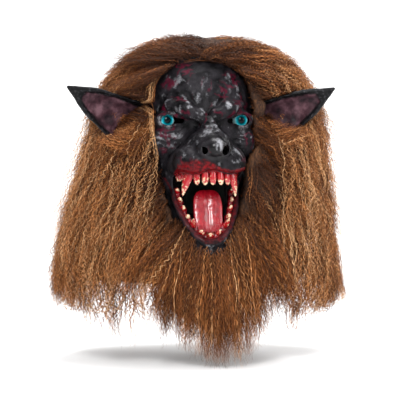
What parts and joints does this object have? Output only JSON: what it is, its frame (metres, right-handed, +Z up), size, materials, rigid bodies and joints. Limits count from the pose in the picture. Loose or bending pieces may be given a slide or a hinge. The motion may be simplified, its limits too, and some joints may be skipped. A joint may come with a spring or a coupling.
{
  "type": "latex halloween mask",
  "caption": "Over-the-head snarling wolf-man mask with an open sprung jaw, fangs, pointed ears, plastic eyes and a long crimped fur mane.",
  "frame": {"origin": "the point inside the top of the mask that rests on the wearer's crown", "axes": "+Z up through the crown, -Y the way the face looks, +X the wearer's left"},
  "size_m": [0.434, 0.3416, 0.469],
  "materials": {
    "latex_black": "satin",
    "hood_fabric": "matte",
    "mesh_black": "matte",
    "gum_red": "gloss",
    "tongue_red": "gloss",
    "tooth_ivory": "gloss",
    "eye_acrylic": "gloss",
    "fur_brown": "matte"
  },
  "bodies": {
    "head": {"face_shell": "latex_black", "wig_cap": "hood_fabric", "mouth_screen": "mesh_black", "upper_gum": "gum_red", "eye_right": "eye_acrylic", "eye_left": "eye_acrylic", "incisor_upper_1": "tooth_ivory", "incisor_upper_2": "tooth_ivory", "incisor_upper_3": "tooth_ivory", "incisor_upper_4": "tooth_ivory", "incisor_upper_5": "tooth_ivory", "fang_upper_right": "tooth_ivory", "fang_upper_left": "tooth_ivory", "molar_upper_right_1": "tooth_ivory", "molar_upper_right_2": "tooth_ivory", "molar_upper_right_3": "tooth_ivory", "molar_upper_left_1": "tooth_ivory", "molar_upper_left_2": "tooth_ivory", "molar_upper_left_3": "tooth_ivory", "crown_fur": "fur_brown", "mane_right": "fur_brown", "mane_left": "fur_brown", "nape_fur": "fur_brown", "beard_fur": "fur_brown"},
    "jaw": {"jaw_shell": "latex_black", "lower_gum": "gum_red", "tongue": "tongue_red", "incisor_lower_1": "tooth_ivory", "incisor_lower_2": "tooth_ivory", "incisor_lower_3": "tooth_ivory", "fang_lower_right": "tooth_ivory", "fang_lower_left": "tooth_ivory", "molar_lower_right_1": "tooth_ivory", "molar_lower_right_2": "tooth_ivory", "molar_lower_right_3": "tooth_ivory", "molar_lower_right_4": "tooth_ivory", "molar_lower_left_1": "tooth_ivory", "molar_lower_left_2": "tooth_ivory", "molar_lower_left_3": "tooth_ivory", "molar_lower_left_4": "tooth_ivory"},
    "ear_right": {"ear_right": "latex_black"},
    "ear_left": {"ear_left": "latex_black"}
  },
  "joints": [
    {"name": "jaw_flex", "type": "hinge", "parent": "head", "child": "jaw", "pos_m": [0, -0.072, -0.185], "axis": [-1, 0, 0], "range_deg": [-3, 10], "stiffness_Nm_per_rad": 2},
    {"name": "ear_right_flex", "type": "hinge", "parent": "head", "child": "ear_right", "pos_m": [-0.08, -0.05, -0.126], "axis": [0.4928, 0, 0.8701], "range_deg": [-12, 12], "stiffness_Nm_per_rad": 0.6},
    {"name": "ear_left_flex", "type": "hinge", "parent": "head", "child": "ear_left", "pos_m": [0.08, -0.05, -0.126], "axis": [0.4928, 0, -0.8701], "range_deg": [-12, 12], "stiffness_Nm_per_rad": 0.6}
  ]
}
